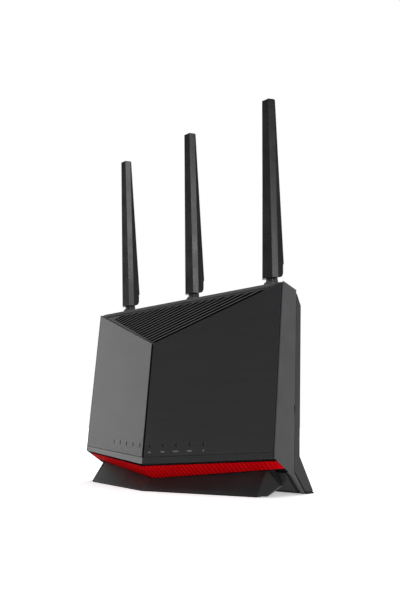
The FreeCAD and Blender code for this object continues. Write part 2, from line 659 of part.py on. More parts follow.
# ------------------------------------------------------------------ rear shell
rear_out = hull([PARTING.off(-g["part_gap"]).flip(), SIDE_R, SIDE_L, REAR_TOP, RTOP_R, RTOP_L, PLATEAU, CHAM_R, CHAM_L, UNDER_R, UNDER_L])
pr = S("pad_rear")
leg_back = S("leg_back_y") - 0.64 * pr
outline = [(py_ + 2 * S("part_gap"), pz + 0.01), (15.9, pz), (S("leg_gap_y") + 0.5, pr), (leg_back, pr), (S("back_y"), S("back_z")), (16.0, S("back_z") + 4.0)]
skirt_wide = prism("YZ", [outline], -125, 125, "SkirtOutline")
side_trim = hull([SIDE_R, SIDE_L, Half(V(0, 1, 0), 70), Half(V(0, -1, 0), 70), Half(V(0, 0, 1), 200), Half(V(0, 0, -1), 5)])
skirt_full = common(skirt_wide, feature(side_trim, "SideTrim"))
under_front = hull([UNDER_R.off(-0.3), UNDER_L.off(-0.3), PARTING.off(-g["part_gap"]), Half(V(0, -1, 0), 20), Half(V(0, 0, 1), 60)])
skirt_front = cut(prism("YZ", [[(11.4, 18.0), (25.6, pr), (S("leg_gap_y") + 0.5, pr), (15.9, pz)]], -112.0, 112.0, "SkirtFront"), [feature(under_front, "UnderFront")])
boss = [cyl(S("boss_rad"), (i * S("ant_pitch"), S("ant_y"), 150.0), S("boss_top") - 150.0, "z", "Boss") for i in (-1, 0, 1)]
rear_full = fuse([feature(rear_out, "RearHull"), skirt_full, skirt_front] + boss)
rear_room = hull([Half(V(0, -1, 0), 5), SIDE_R.off(g["side_wall"]), SIDE_L.off(g["side_wall"]), REAR_TOP.off(2.2), RTOP_R.off(2.2), RTOP_L.off(2.2),
                  PLATEAU.off(2.2), CHAM_R.off(2.4), CHAM_L.off(2.4), UNDER_R.off(2.0), UNDER_L.off(2.0)])
skirt_room = prism("YZ", [[(15.2, 17.2), (28.4, 4.0), (38.0, 4.0), (22.2, 28.0), (16.5, 30.0)]], -109.5, 109.5, "SkirtRoom")
boss_room = [cyl(5.4, (i * S("ant_pitch"), S("ant_y"), 148.0), 16.0, "z", "BossRoom") for i in (-1, 0, 1)]
boss_bore = [cyl(3.25, (i * S("ant_pitch"), S("ant_y"), 160.0), 12.0, "z", "BossBore") for i in (-1, 0, 1)]
rear_hollow = cut(rear_full, [feature(rear_room, "RearRoom"), skirt_room] + boss_room + boss_bore)
board_back = S("board_y") + S("board_thick")
stand_off = [cyl(3.4, (x, board_back, z), yb - board_back, "y", "BoardPost") for x in (-89.0, 89.0) for z, yb in ((52.0, 32.9), (126.0, 34.8))]
rear_posts = [cyl(4.4, (x, 12.3, z), (35.2 if z > 100 else 31.6) - 12.3, "y", "RearPost") for x, z in post_xz]
rear_posts += [cyl(1.5, (x, 13.42, 148.0), 34.8 - 13.42, "y", "AntennaPeg") for x in (-38.0, -10.0)]
# sockets, buttons, screw seats and air slots in the back
jl, jh = S("jack_low"), S("jack_tall")
LAN_X = [-75.0, -59.0, -43.0, -27.0]
WAN_X, FAST_X = 12.5, -7.0
USB_X = [50.0, 31.6]
DC_X, POWER_X, RESET_X = 86.0, 72.0, 61.5
jz = jl + jh / 2
cuts = [box(-83.4, -18.6, 26, 45, jl - 0.4, jl + jh + 0.4, "LanWindow")]
for x in (WAN_X, FAST_X):
    cuts.append(box(x - S("jack_wide") / 2 - 0.4, x + S("jack_wide") / 2 + 0.4, 26, 45, jl - 0.4, jl + jh + 0.4, "JackWindow"))
for x in USB_X:
    cuts.append(box(x - S("usb_wide") / 2 - 0.4, x + S("usb_wide") / 2 + 0.4, 26, 45, jz - S("usb_tall") / 2 - 0.4, jz + S("usb_tall") / 2 + 0.4, "UsbWindow"))
cuts.append(cyl(4.2, (DC_X, 26, jz), 20, "y", "DcWindow"))
cuts.append(cyl(S("power_rad") + 0.35, (POWER_X, 26, jz), 20, "y", "PowerWindow"))
cuts.append(cyl(S("reset_rad") + 0.35, (RESET_X, 26, jz), 20, "y", "ResetWindow"))
side_windows = []
for z in (100.0, 82.0):
    side_windows.append(box(-125, -112, S("side_btn_y") - 1.85, S("side_btn_y") + 1.85, z - 4.85, z + 4.85, "SideWindow"))
slot_rows = []
for i in range(29):
    x = -84.0 + 6.0 * i
    slot_rows.append(rect(x - 1.1, x + 1.1, 116.0, 146.0))
    if abs(x) > 36:
        slot_rows.append(rect(x - 1.1, x + 1.1, 62.0, 92.0))
vent_rear = prism("XZ", slot_rows, 29.5, 45, "RearSlots")
seats = [cyl(3.1, (x, 31.4, z), 20, "y", "ScrewSeat") for x, z in post_xz]
bores = [cyl(1.6, (x, 5.0, z), 40, "y", "ScrewBore") for x, z in post_xz]
board_bores = [cyl(1.0, (x, 5.0, z), 14.0, "y", "BoardBore") for x in (-89.0, 89.0) for z in (52.0, 126.0)]
floor_gap = hull([UNDER_R.off(-0.3), UNDER_R.off(2.3).flip(), PARTING.off(-g["part_gap"]), MIDDLE, Half(V(1, 0, 0), 100), Half(V(0, -1, 0), 20)])
floor_gaps = [feature(floor_gap, "FloorGapRight"), feature(mirrored(floor_gap), "FloorGapLeft")]
keep(cut(fuse([rear_hollow] + stand_off + rear_posts), [group(cuts + side_windows), vent_rear, group(seats + board_bores), group(bores)] + floor_gaps), "rear_shell")

pads = []
for x0, x1, in0, in1 in ((52.0, S("leg_foot_x") - 0.05, 0.5, 0.5), (-(S("leg_foot_x") - 0.05), -52.0, 0.5, 0.5)):
    sole = prism("YZ", [[(S("leg_gap_y") + 2.5, 0.0), (S("leg_back_y"), 0.0), (S("leg_back_y") - 0.9, 1.4), (S("leg_gap_y") + 1.2, 1.4)]], x0, x1, "RearPad")
    core = prism("YZ", [[(S("leg_gap_y") + 2.9, 1.2), (S("leg_back_y") - 1.2, 1.2), (S("leg_back_y") - 1.8, pr - 0.02), (S("leg_gap_y") + 2.0, pr - 0.02)]],
                 Q.of(x0) + in0, Q.of(x1) - in1, "RearPadCore")
    pads.append(fuse([sole, core]))
keep(group(pads), "rear_foot_pads")
label_solid = hull([PLATEAU.off(-0.3), PLATEAU.off(-0.02).flip(), Half(V(1, 0, 0), 30), Half(V(-1, 0, 0), 30), Half(V(0, 0, 1), 91), Half(V(0, 0, -1), -61)])
keep(feature(label_solid, "Label"), "label_plate")

# ------------------------------------------------------------------ circuit board
by0, by1 = S("board_y"), board_back
bh = S("board_half")
board = prism("XZ", [[(-bh, S("board_low")), (bh, S("board_low")), (bh, S("board_high")), (-bh, S("board_high"))]] +
              [("o", x, z, 1.6) for x in (-89.0, 89.0) for z in (52.0, 126.0)], by0, by1, "Board")
keep(board, "main_board")
keep(prism("XZ", [rect(-8, 8, 84, 100)], by0 - 1.2, by0 - 0.01, "Processor"), "processor_chip")
keep(group([prism("XZ", [rect(14, 24, 84, 97)], by0 - 1.0, by0 - 0.01, "Memory"), prism("XZ", [rect(-24, -14, 66, 78)], by0 - 1.0, by0 - 0.01, "Memory")]), "memory_chips")
keep(group([prism("XZ", [rect(-6.5, 6.5, 86, 98)], by0 - 1.9, by0 - 1.22, "Pad"), prism("XZ", [rect(-39, -31, 96, 104)], by0 - 1.9, by0 - 0.92, "Pad"),
            prism("XZ", [rect(31, 39, 96, 104)], by0 - 1.9, by0 - 0.92, "Pad")]), "thermal_pads")
keep(group([prism("XZ", [rect(-41, -29, 94, 106)], by0 - 0.9, by0 - 0.01, "Radio"), prism("XZ", [rect(29, 41, 94, 106)], by0 - 0.9, by0 - 0.01, "Radio")]), "radio_chips")
sink = prism("XZ", [rect(-56, 56, 60, 124)], by0 - 4.0, by0 - 1.92, "SinkBase")
fin_loops = [rect(-55.5 + 5.5 * i, -54.3 + 5.5 * i, 60.0, 124.0) for i in range(21)]
sink_fins = prism("XZ", fin_loops, -7.5, by0 - 3.9, "SinkFins")
keep(fuse([sink, sink_fins]), "heat_sink")
cans = []
for x0, x1, z0, z1 in ((62, 86, 70, 110), (-86, -62, 70, 110)):
    can = prism("XZ", [rect(x0, x1, z0, z1)], by1 + 0.01, by1 + 3.0, "Can")
    pocket(can, "XZ", [rect(x0 + 0.4, x1 - 0.4, z0 + 0.4, z1 - 0.4)], by1 - 1, by1 + 2.6)
    cans.append(can)
keep(group(cans), "shield_cans")


# network sockets: a plated block with a stepped plug hole for each socket
def jack(xs, lo, hi, name):
    b = prism("XZ", [rect(lo, hi, jl, jl + jh)], by1 + 0.01, S("jack_face_y"), name)
    z0 = jz - S("hole_tall") / 2 + 0.6
    loops = []
    for x in xs:
        hw = S("hole_wide") / 2
        loops.append([(x - hw, z0), (x - 3.1, z0), (x - 3.1, z0 - 1.7), (x + 3.1, z0 - 1.7), (x + 3.1, z0), (x + hw, z0), (x + hw, z0 + S("hole_tall")), (x - hw, z0 + S("hole_tall"))])
    pocket(b, "XZ", loops, S("jack_face_y") - S("hole_deep"), S("jack_face_y") + 1)
    return b


keep(jack(LAN_X, -83.0, -19.0, "LanBlock"), "lan_socket_block")
keep(jack([WAN_X], WAN_X - 8.0, WAN_X + 8.0, "WanJack"), "wan_socket")
keep(jack([FAST_X], FAST_X - 8.0, FAST_X + 8.0, "FastJack"), "fast_lan_socket")
usbs = []
for x in USB_X:
    hw, hh = S("usb_wide") / 2, S("usb_tall") / 2
    u = prism("XZ", [rect(x - hw, x + hw, jz - hh, jz + hh)], by1 + 0.01, S("jack_face_y"), "Usb")
    pocket(u, "XZ", [rect(x - hw + 0.6, x + hw - 0.6, jz - hh + 0.7, jz + hh - 0.7)], S("jack_face_y") - 14.0, S("jack_face_y") + 1)
    tongue = prism("XZ", [rect(x - 5.6, x + 5.6, jz + 0.3, jz + 2.1)], S("jack_face_y") - 15.0, S("jack_face_y") - 0.8, "Tongue")
    usbs.append(fuse([u, tongue]))
keep(group(usbs), "usb_sockets")
dc_block = prism("XZ", [rect(DC_X - 4.6, DC_X + 4.6, jz - 5.2, jz + 5.2)], by1 + 0.01, 29.2, "DcBlock")
dc_nose = cyl(3.9, (DC_X, 29.0, jz), S("jack_face_y") - 29.0, "y", "DcNose")
dc_bore = cyl(3.0, (DC_X, S("jack_face_y") - 10.0, jz), 12.0, "y", "DcBore")
dc_pin = cyl(1.25, (DC_X, S("jack_face_y") - 10.5, jz), 9.5, "y", "DcPin")
keep(fuse([cut(fuse([dc_block, dc_nose]), dc_bore), dc_pin]), "dc_inlet")

# power switch and its push cap
keep(prism("XZ", [rect(POWER_X - 4.2, POWER_X + 4.2, jz - 4.2, jz + 4.2)], by1 + 0.01, 20.0, "PowerSwitch"), "power_switch")
cap = cyl(S("power_rad"), (POWER_X, 23.4, jz), 11.6, "y", "PowerCap")
keep(cap, "power_button")
# reset switch and its recessed pin
keep(prism("XZ", [rect(RESET_X - 2.6, RESET_X + 2.6, jz - 2.6, jz + 2.6)], by1 + 0.01, 14.0, "ResetSwitch"), "reset_switch")
keep(cyl(S("reset_rad"), (RESET_X, 15.4, jz), 16.4, "y", "ResetPin"), "reset_button")
# side buttons with their small switch board
keep(fuse([box(-110.6, -109.4, 16.4, 25.4, 72.0, 110.0, "SideBoard"), box(-112.4, -110.5, S("side_btn_y") - 1.6, S("side_btn_y") + 1.6, 97.0, 103.0, "Tact"),
           box(-112.4, -110.5, S("side_btn_y") - 1.6, S("side_btn_y") + 1.6, 79.0, 85.0, "Tact")]), "side_switch_board")
for z, nm in ((100.0, "wps_button"), (82.0, "light_button")):
    hw, hh = 1.5, 4.5
    b = prism("YZ", [rect(S("side_btn_y") - hw, S("side_btn_y") + hw, z - hh, z + hh)], -(side_x(z) + 0.7), -113.6, "SideButton")
    keep(b, nm)

# indicator light guides and lamps
for sgn, nm in ((1, "light_guide_right"), (-1, "light_guide_left")):
    bars = []
    for k in range(5):
        x = led_x[k] * sgn
        hw, hh = S("led_wide") / 2 - 0.1, S("led_tall") / 2 - 0.1
        z = led_z(k)
        y0 = front_y(num(x), num(z)) + 0.55
        bars.append(prism("XZ", [rect(x - hw, x + hw, z - hh, z + hh)], y0, by0 - 1.6, "Guide"))
    xa, xb = num(led_x[0]) * sgn, num(led_x[4]) * sgn
    lo, hi = min(xa, xb) - 0.55, max(xa, xb) + 0.55
    rail = prism("XZ", [[(lo, 34.6), (hi, 34.6), (hi, 41.0 if sgn > 0 else 38.2), (lo, 38.2 if sgn > 0 else 41.0)]], -4.0, -1.0, "GuideRail")
    keep(fuse(bars + [rail]), nm)
keep(group([prism("XZ", [rect(x * sg - 0.8, x * sg + 0.8, led_z(k) - 0.5, led_z(k) + 0.5)], by0 - 0.9, by0 - 0.01, "Lamp")
            for sg in (1, -1) for k, x in enumerate(led_x)]), "indicator_lamps")

# inner antenna strip, held on two pegs of the rear shell's upper wall
keep(prism("XZ", [rect(-44, -4, 140, 150)], 12.6, 13.4, "InnerAntenna"), "inner_antenna")

# antenna connectors through the bosses, each a barrel with a hexagon inside, and its nut outside
HEXR = 4.6
conns, nuts = [], []
for i in (-1, 0, 1):
    ax, ay = i * S("ant_pitch"), S("ant_y")
    hexa = [(ax + HEXR * math.cos(math.radians(60 * q)), ay + HEXR * math.sin(math.radians(60 * q))) for q in range(6)]
    flange = prism("XY", [hexa], 160.6, 163.95, "Flange")
    barrel = cyl(3.17, (ax, ay, 156.0), 16.4, "z", "Barrel")
    conns.append(fuse([flange, barrel]))
    hexn = [(ax + HEXR * math.cos(math.radians(60 * q + 30)), ay + HEXR * math.sin(math.radians(60 * q + 30))) for q in range(6)]
    nut = prism("XY", [hexn, ("o", ax, ay, 3.2)], S("boss_top") + 0.02, S("boss_top") + 2.0, "Nut")
    nuts.append(nut)
keep(group(conns), "antenna_connectors")
keep(group(nuts), "connector_nuts")

# coaxial leads from the board to the connectors, and to the inner antenna
leads = []
for px_, target in ((-70.0, (-90.0, 23.0, 155.95)), (8.0, (0.0, 23.0, 155.95)), (70.0, (90.0, 23.0, 155.95)), (-30.0, (-30.0, 14.5, 141.0))):
    sp = [V(px_, 10.6, 122.0), V(px_, 13.5, 123.0), V(px_ + (target[0] - px_) * 0.3, 17.0, 131.0), V(px_ + (target[0] - px_) * 0.8, target[1] + 0.2, 141.0 if target[2] > 150 else 134.0), V(target[0], target[1], target[2] - 5.0), V(*target)]
    if target[2] < 150:
        sp = [V(px_, 10.6, 122.0), V(px_, 13.6, 123.5), V(px_, 14.6, 131.0), V(*target)]
    c = Part.BSplineCurve()
    c.interpolate(sp)
    wire = Part.Wire([c.toShape()])
    t0 = c.tangent(c.FirstParameter)[0]
    circ = Part.Wire([Part.Circle(sp[0], t0, 0.6).toShape()])
    leads.append(wire.makePipeShell([circ], True, False))
    leads.append(Part.makeCylinder(1.3, 1.0, V(px_, 9.62, 122.0), V(0, 1, 0)))
solids = []
for i in range(0, len(leads), 2):
    s = leads[i].fuse(leads[i + 1])
    solids.append(s.Solids[0] if len(s.Solids) == 1 else s)
keep(feature(Part.makeCompound(solids), "Leads"), "coax_leads")

# screws: turned head and shank
screw = [(0, 0), (1.15, 0), (1.15, 28.0), (2.8, 28.0), (2.8, 30.0), (0, 30.0)]
keep(group([revolve([screw], (x, 3.42, z), "CaseScrew", "y") for x, z in post_xz]), "case_screws")
small = [(0, 0), (2.4, 0), (2.4, 1.5), (0.95, 1.5), (0.95, 8.0), (0, 8.0)]
keep(group([revolve([small], (x, by0 - 1.52, z), "BoardScrew", "y") for x in (-89.0, 89.0) for z in (52.0, 126.0)]), "board_screws")


# ------------------------------------------------------------------ antennas
def ant_collar(ax):
    prof = [(3.3, 171.0), (3.3, 172.7), (4.9, 172.7), (4.9, 173.75), (S("spigot_bore"), 173.75), (S("spigot_bore"), S("collar_top")), (S("collar_rad") - 0.5, S("collar_top")),
            (S("collar_rad"), S("collar_top") - 0.6), (S("collar_rad"), S("boss_top") + 0.1), (5.2, S("boss_top") + 0.1), (5.2, 171.0)]
    return revolve([prof], (ax, S("ant_y"), 0), "Collar")


keep(group([ant_collar(i * S("ant_pitch")) for i in (-1, 0, 1)]), "antenna_collars")

# blade cross-section, bottom and top: half width of the flat front, chamfer width and depth, spine depth
LOW = dict(f=5.05, cx=3.4, cy=3.9, y=16.9, back=29.3)
HIGH = dict(f=3.25, cx=2.9, cy=4.3, y=13.7, back=18.9)


def blade_y(z, key):
    t = (z - g["blade_low"]) / (g["blade_high"] - g["blade_low"])
    a = {"front": (LOW["y"], HIGH["y"]), "joint": (LOW["y"] + LOW["cy"], HIGH["y"] + HIGH["cy"]), "back": (LOW["back"], HIGH["back"])}[key]
    return a[0] + (a[1] - a[0]) * t


def half_w(z):
    t = (z - g["blade_low"]) / (g["blade_high"] - g["blade_low"])
    a, b = LOW["f"] + LOW["cx"], HIGH["f"] + HIGH["cx"]
    return a + (b - a) * t


def section(c, ax):
    return [(ax - c["f"], c["y"]), (ax + c["f"], c["y"]), (ax + c["f"] + c["cx"], c["y"] + c["cy"]), (ax - c["f"] - c["cx"], c["y"] + c["cy"])]


for i, side in ((-1, "left"), (0, "centre"), (1, "right")):
    ax = i * S("ant_pitch")
    axn = ax.v if isinstance(ax, Q) else float(ax)
    ay, hz = g["ant_y"], g["hinge_z"]
    # front half: facetted blade, a ruled loft from bottom to tip
    bl = new_body("Blade")
    b0 = sketch_on(bl, "XY", S("blade_low"), [section(LOW, ax)])
    b1 = sketch_on(bl, "XY", S("blade_high"), [section(HIGH, ax)])
    lo = bl.newObject("PartDesign::AdditiveLoft", uid("Loft"))
    lo.Profile = b0
    lo.Sections = [b1]
    lo.Ruled = True
    bl.Tip = lo
    clear = [prism("XY", [rect(ax - S("slot_half"), ax + S("slot_half"), 18.0, 40)], 177, 189.0, "TongueRoom"),
             prism("XY", [rect(ax - 4.0, ax + 4.0, 17.6, 30)], 196, 272, "ElementRoom")]
    keep(cut(bl, clear), "antenna_%s_blade" % side)
    # back half: spine that thins out upwards, stepped over a round heel with two cheeks for the hinge
    sp = new_body("Spine")
    zb = 190.5

    def srect(z, inset_back=0.0):
        return rect(ax - half_w(z), ax + half_w(z), blade_y(z, "joint") + 0.02, blade_y(z, "back") - inset_back)
    c0 = sketch_on(sp, "XY", zb, [srect(zb)])
    c1 = sketch_on(sp, "XY", g["blade_high"] - 0.5, [srect(g["blade_high"] - 0.5)])
    ls = sp.newObject("PartDesign::AdditiveLoft", uid("Loft"))
    ls.Profile = c0
    ls.Sections = [c1]
    ls.Ruled = True
    sp.Tip = ls
    hw0 = 8.0
    jy = blade_y(184.0, "joint") + 0.04
    cheek = prism("YZ", [[(jy, 178.55), (ay, 178.55 + 0.4), (ay + 0.01, 184.0), (ay + 4.9, 184.0), (ay + 4.9, 190.6), (jy, 190.6)]], ax - hw0, ax + hw0, "Cheek")
    heel = cyl(4.9, (ax - hw0, ay, hz), 2 * hw0, "x", "Heel")
    heel_cut = box(ax - 9, ax + 9, 10, jy, 170, 195, "HeelTrim")
    slot = [cyl(5.15, (ax - S("slot_half"), ay, hz), 2 * S("slot_half"), "x", "SlotRound"),
            box(ax - S("slot_half"), ax + S("slot_half"), 10, 40, 170, S("hinge_z"), "SlotBox"),
            box(ax - S("slot_half"), ax + S("slot_half"), ay, 40, 180, S("hinge_z") + 4.3, "SlotBack"),
            cyl(S("pin_rad") + 0.001, (ax - 6.02, ay, hz), 12.04, "x", "PinBore")]
    element_room = prism("XY", [rect(ax - 4.0, ax + 4.0, 10, 21.2)], 196, 262, "ElementRoomBack")
    spine_all = cut(fuse([sp, cheek, cut(heel, heel_cut)]), slot + [element_room])
    keep(spine_all, "antenna_%s_spine" % side)
    # radiating element: a thin board inside the blade
    keep(prism("XY", [rect(ax - 3.4, ax + 3.4, 18.3, 18.9)], 198, 270, "Element"), "antenna_%s_element" % side)
    # hinge pin through both cheeks
    keep(cyl(S("pin_rad"), (ax - 6.0, ay, hz), 12.0, "x", "Pin"), "antenna_%s_pin" % side)
    # swivel: spigot in the collar, neck, and the tongue that carries the hinge
    prof = [(0, 172.8), (4.6, 172.8), (4.6, 173.6), (S("spigot_rad"), 173.6), (S("spigot_rad"), 175.5), (S("neck_rad"), 175.5), (S("neck_rad"), S("neck_top") - 0.4), (S("neck_rad") - 0.4, S("neck_top")), (0, S("neck_top"))]
    neck = revolve([prof], (ax, S("ant_y"), 0), "Neck")
    tongue = prism("YZ", [rect(ay - 3.9, ay + 3.9, S("neck_top") - 0.6, S("hinge_z"))], ax - S("tongue_half"), ax + S("tongue_half"), "Tongue")
    eye = cyl(4.6, (ax - S("tongue_half"), ay, hz), 2 * S("tongue_half"), "x", "Eye")
    hole_ = cyl(S("pin_bore"), (ax - 9, ay, hz), 18, "x", "EyeBore")
    keep(cut(fuse([neck, tongue, eye]), hole_), "antenna_%s_swivel" % side)

# ------------------------------------------------------------------ check and write
doc.recompute()
bad = []
for o in doc.Objects:
    if any(s in ("Invalid", "Error") for s in o.State):
        bad.append("%s (%s): %s" % (o.Name, o.Label, o.State))
for label, o in PARTS.items():
    sh = o.Shape
    if sh.isNull() or not sh.isValid() or not sh.Solids:
        bad.append("%s: shape null, invalid or without a solid" % label)
    elif sh.Volume <= 0:
        bad.append("%s: volume %.3f" % (label, sh.Volume))
if bad:
    raise RuntimeError("model not sound: " + "; ".join(bad))
for label, o in PARTS.items():
    o.Shape.exportStep("parts/%s.step" % label)
total = V(0, 0, 0)
bb = FreeCAD.BoundBox()
for label, o in PARTS.items():
    bb.add(o.Shape.BoundBox)
print("parts", len(PARTS), "box", [round(v, 2) for v in (bb.XMin, bb.XMax, bb.YMin, bb.YMax, bb.ZMin, bb.ZMax)])
for label, o in PARTS.items():
    b = o.Shape.BoundBox
    print("%-26s solids %d vol %9.1f  x %.1f..%.1f y %.1f..%.1f z %.1f..%.1f" % (label, len(o.Shape.Solids), o.Shape.Volume, b.XMin, b.XMax, b.YMin, b.YMax, b.ZMin, b.ZMax))
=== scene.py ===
import bpy
import bmesh
import json
import math
from mathutils import Vector, Matrix

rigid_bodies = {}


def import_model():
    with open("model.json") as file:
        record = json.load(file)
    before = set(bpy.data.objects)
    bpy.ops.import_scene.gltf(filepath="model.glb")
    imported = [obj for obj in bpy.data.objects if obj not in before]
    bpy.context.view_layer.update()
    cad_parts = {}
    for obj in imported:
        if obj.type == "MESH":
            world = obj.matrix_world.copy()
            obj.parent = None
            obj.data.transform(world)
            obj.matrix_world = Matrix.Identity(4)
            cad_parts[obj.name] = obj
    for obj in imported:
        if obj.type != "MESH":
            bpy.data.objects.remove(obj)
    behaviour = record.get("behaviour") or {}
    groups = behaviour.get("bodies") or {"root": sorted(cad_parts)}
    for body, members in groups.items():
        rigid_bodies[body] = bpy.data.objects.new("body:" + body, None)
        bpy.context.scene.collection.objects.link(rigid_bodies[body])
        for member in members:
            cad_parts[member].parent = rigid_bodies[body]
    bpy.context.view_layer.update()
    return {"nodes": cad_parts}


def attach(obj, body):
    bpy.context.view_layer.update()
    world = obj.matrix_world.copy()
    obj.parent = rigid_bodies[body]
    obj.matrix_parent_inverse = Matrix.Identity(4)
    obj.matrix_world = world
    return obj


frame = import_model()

SCN = bpy.context.scene


# ------------------------------------------------------------------ camera
def make_camera():
    cam = bpy.data.cameras.new("shot_camera")
    ob = bpy.data.objects.new("shot_camera", cam)
    SCN.collection.objects.link(ob)
    cam.sensor_fit = "AUTO"
    cam.sensor_width = 36.0
    cam.lens = 630.87 * 36.0 / 600.0
    cam.shift_x = (200.0 - 203.6) / 600.0
    cam.shift_y = (426.66 - 300.0) / 600.0
    cam.clip_start, cam.clip_end = 0.01, 60.0
    right = Vector((0.7365, 0.6764, 0.0)).normalized()
    fwd = Vector((-0.6764, 0.7365, 0.0)).normalized()
    up = Vector((0, 0, 1))
    m = Matrix((right, up, -fwd)).transposed().to_4x4()
    m.translation = Vector((0.40482, -0.40425, 0.05515))
    ob.matrix_world = m
    SCN.camera = ob
    return ob


make_camera()


# ------------------------------------------------------------------ node helpers
class Mat:
    """A small builder for node materials; every number that is the same all over goes on the shader itself."""

    def __init__(self, name):
        self.m = bpy.data.materials.new(name)
        self.m.use_nodes = True
        self.t = self.m.node_tree
        self.t.nodes.clear()
        self.out = self.t.nodes.new("ShaderNodeOutputMaterial")
        self.p = self.t.nodes.new("ShaderNodeBsdfPrincipled")
        self.link(self.p.outputs[0], self.out.inputs[0])
        self.co = self.t.nodes.new("ShaderNodeTexCoord")

    def link(self, a, b):
        self.t.links.new(a, b)

    def node(self, kind, **kw):
        n = self.t.nodes.new("ShaderNode" + kind)
        for k, v in kw.items():
            setattr(n, k, v)
        return n

    def mapping(self, scale=(1, 1, 1), rot=(0, 0, 0)):
        n = self.node("Mapping")
        n.inputs["Scale"].default_value = scale
        n.inputs["Rotation"].default_value = rot
        self.link(self.co.outputs["Object"], n.inputs["Vector"])
        return n.outputs[0]

    def noise(self, scale, detail=3.0, rough=0.55, vec=None):
        n = self.node("TexNoise")
        n.inputs["Scale"].default_value = scale
        n.inputs["Detail"].default_value = detail
        n.inputs["Roughness"].default_value = rough
        self.link(vec if vec is not None else self.co.outputs["Object"], n.inputs["Vector"])
        return n.outputs["Fac"]

    def ramp(self, fac, lo, hi, a=0.35, b=0.65):
        n = self.node("MapRange")
        n.inputs["From Min"].default_value = a
        n.inputs["From Max"].default_value = b
        n.inputs["To Min"].default_value = lo
        n.inputs["To Max"].default_value = hi
        self.link(fac, n.inputs["Value"])
        return n.outputs[0]

    def math(self, op, a, b=None):
        n = self.node("Math", operation=op)
        for i, v in enumerate((a, b)):
            if v is None:
                continue
            if isinstance(v, (int, float)):
                n.inputs[i].default_value = v
            else:
                self.link(v, n.inputs[i])
        return n.outputs[0]

    def mix(self, fac, a, b):
        n = self.node("Mix", data_type="RGBA")
        if isinstance(fac, (int, float)):
            n.inputs[0].default_value = fac
        else:
            self.link(fac, n.inputs[0])
        for i, v in ((6, a), (7, b)):
            if isinstance(v, tuple):
                n.inputs[i].default_value = (*v, 1.0)
            else:
                self.link(v, n.inputs[i])
        return n.outputs[2]

    def edge(self, radius, lo=0.02, hi=0.3):
        """A mask that is one on sharp edges, from how far a rounded normal leaves the true one."""
        bev = self.node("Bevel", samples=4)
        bev.inputs["Radius"].default_value = radius
        geo = self.node("NewGeometry")
        dot = self.node("VectorMath", operation="DOT_PRODUCT")
        self.link(bev.outputs[0], dot.inputs[0])
        self.link(geo.outputs["Normal"], dot.inputs[1])
        inv = self.math("SUBTRACT", 1.0, dot.outputs["Value"])
        return self.ramp(inv, 0.0, 1.0, lo, hi), bev.outputs[0]

    def bump(self, height, strength, dist, normal=None):
        n = self.node("Bump")
        n.inputs["Strength"].default_value = strength
        n.inputs["Distance"].default_value = dist
        self.link(height, n.inputs["Height"])
        if normal is not None:
            self.link(normal, n.inputs["Normal"])
        return n.outputs[0]


def lin(h):
    h = h.lstrip("#")
    out = []
    for i in (0, 2, 4):
        c = int(h[i:i + 2], 16) / 255.0
        out.append(c / 12.92 if c <= 0.04045 else ((c + 0.055) / 1.055) ** 2.4)
    return tuple(out)


def plastic(name, col, rough=0.45, grain=2600.0, bump=0.25, depth=0.00006, spec=0.5, edge_r=0.0004, edge_highlight_col=None, blotch=0.12, coat=0.0, coat_rough=0.2):
    """Moulded plastic: fine spark-eroded grain, slow colour and gloss drift, and a painted highlight that makes the
    rounded edges lighter.
    """
    M = Mat(name)
    hi = tuple(min(1.0, c * (1 + blotch) + 0.0015) for c in col)
    lo = tuple(c * (1 - blotch) for c in col)
    slow = M.noise(38.0, 3.0, 0.6)
    fine = M.noise(grain, 2.0, 0.5)
    base = M.mix(M.ramp(slow, 0, 1), lo, hi)
    base = M.mix(M.ramp(fine, 0.0, 0.25), base, hi)
    mask, rounded = M.edge(edge_r)
    # painted highlight: the rounded edges get a lighter colour, broken up by noise
    edge_highlight_rgb = edge_highlight_col or tuple(min(1.0, c * 1.9 + 0.012) for c in col)
    painted_edge_highlight = M.math("MULTIPLY", mask, M.ramp(M.noise(260.0, 3.0), 0.35, 0.95, 0.3, 0.7))
    base = M.mix(painted_edge_highlight, base, edge_highlight_rgb)
    M.link(base, M.p.inputs["Base Color"])
    r = M.math("ADD", M.ramp(slow, rough - 0.05, rough + 0.05), M.ramp(fine, -0.04, 0.04))
    M.link(r, M.p.inputs["Roughness"])
    M.link(M.bump(fine, bump, depth, rounded), M.p.inputs["Normal"])
    M.p.inputs["Specular IOR Level"].default_value = spec
    M.p.inputs["Coat Weight"].default_value = coat
    M.p.inputs["Coat Roughness"].default_value = coat_rough
    return M.m


def brushed(name, col, rough=0.4, spec=0.5, rot=(0, 0, 0)):
    """Panel skin: hairline brushing that runs along X, in a dark lacquered plastic."""
    M = Mat(name)
    line = M.noise(1.0, 4.0, 0.7, M.mapping((55.0, 55.0, 5200.0), rot))
    line2 = M.noise(1.0, 2.0, 0.6, M.mapping((14.0, 14.0, 1400.0), rot))
    slow = M.noise(22.0, 2.0, 0.5)
    both = M.math("ADD", M.math("MULTIPLY", line, 0.65), M.math("MULTIPLY", line2, 0.35))
    lo, hi = tuple(c * 0.82 for c in col), tuple(c * 1.22 + 0.001 for c in col)
    base = M.mix(M.ramp(both, 0, 1, 0.38, 0.62), lo, hi)
    mask, rounded = M.edge(0.00035)
    # painted highlight: the rounded edges of the panel skin are painted lighter
    base = M.mix(M.math("MULTIPLY", mask, 0.7), base, tuple(min(1, c * 2.2 + 0.02) for c in col))
    M.link(base, M.p.inputs["Base Color"])
    r = M.math("ADD", M.ramp(both, rough - 0.04, rough + 0.05, 0.35, 0.65), M.ramp(slow, -0.008, 0.008))
    M.link(r, M.p.inputs["Roughness"])
    M.link(M.bump(both, 0.22, 0.00003, rounded), M.p.inputs["Normal"])
    M.p.inputs["Specular IOR Level"].default_value = spec
    return M.m


